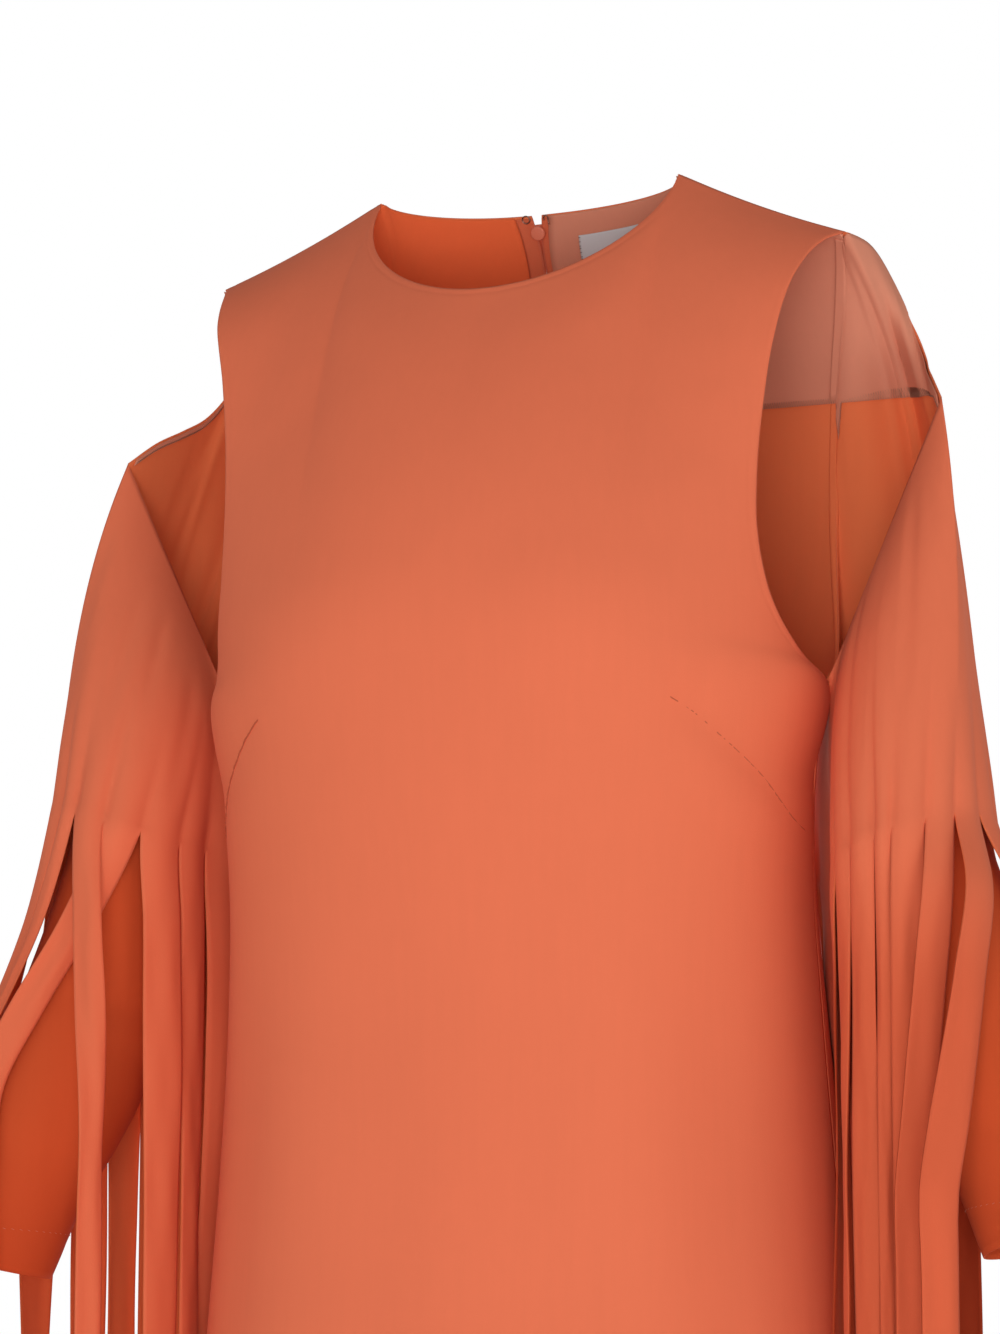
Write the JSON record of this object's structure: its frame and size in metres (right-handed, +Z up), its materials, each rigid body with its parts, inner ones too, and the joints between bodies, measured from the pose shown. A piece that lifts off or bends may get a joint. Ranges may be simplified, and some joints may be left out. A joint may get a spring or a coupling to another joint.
{
  "type": "full-length dress",
  "caption": "Full-length crepe dress in its worn hollow form, round neck, open shoulders, and outer sleeves slashed into hanging strips over plain inner sleeves.",
  "frame": {"origin": "midway between the two neck side points, at shoulder height", "axes": "+Z up, the front faces -Y, the wearer's left is +X"},
  "size_m": [0.7938, 0.3686, 1.4622],
  "materials": {
    "coral_crepe": "matte crepe, coral",
    "coral_crepe_inside": "matte crepe, coral, seen inside",
    "crepe_facing": "matte facing cloth, pale coral",
    "zip_tape": "woven tape, coral",
    "zip_enamel": "coral enamel",
    "pale_metal": "pale metal wire",
    "label": "woven satin, blank"
  },
  "bodies": {
    "dress": {"front_panel": "coral_crepe", "back_panel_left": "coral_crepe", "back_panel_right": "coral_crepe", "back_facing_left": "crepe_facing", "back_facing_right": "crepe_facing", "sleeve_overlay_left": "coral_crepe", "sleeve_overlay_right": "coral_crepe", "sleeve_edge_facing_left": "crepe_facing", "sleeve_edge_facing_right": "crepe_facing", "sleeve_inner_left": "coral_crepe_inside", "sleeve_inner_right": "coral_crepe_inside", "zip_tape_left": "zip_tape", "zip_tape_right": "zip_tape", "zip_slider": "zip_enamel", "eye": "pale_metal", "hook": "pale_metal", "label": "label"},
    "zip_pull": {"zip_pull": "zip_enamel"}
  },
  "joints": [
    {"name": "zip_pull_hinge", "type": "hinge", "parent": "dress", "child": "zip_pull", "pos_m": [-0.0115, 0.0545, -0.00966], "axis": [1, 0, 0], "range_deg": [0, 125]}
  ]
}
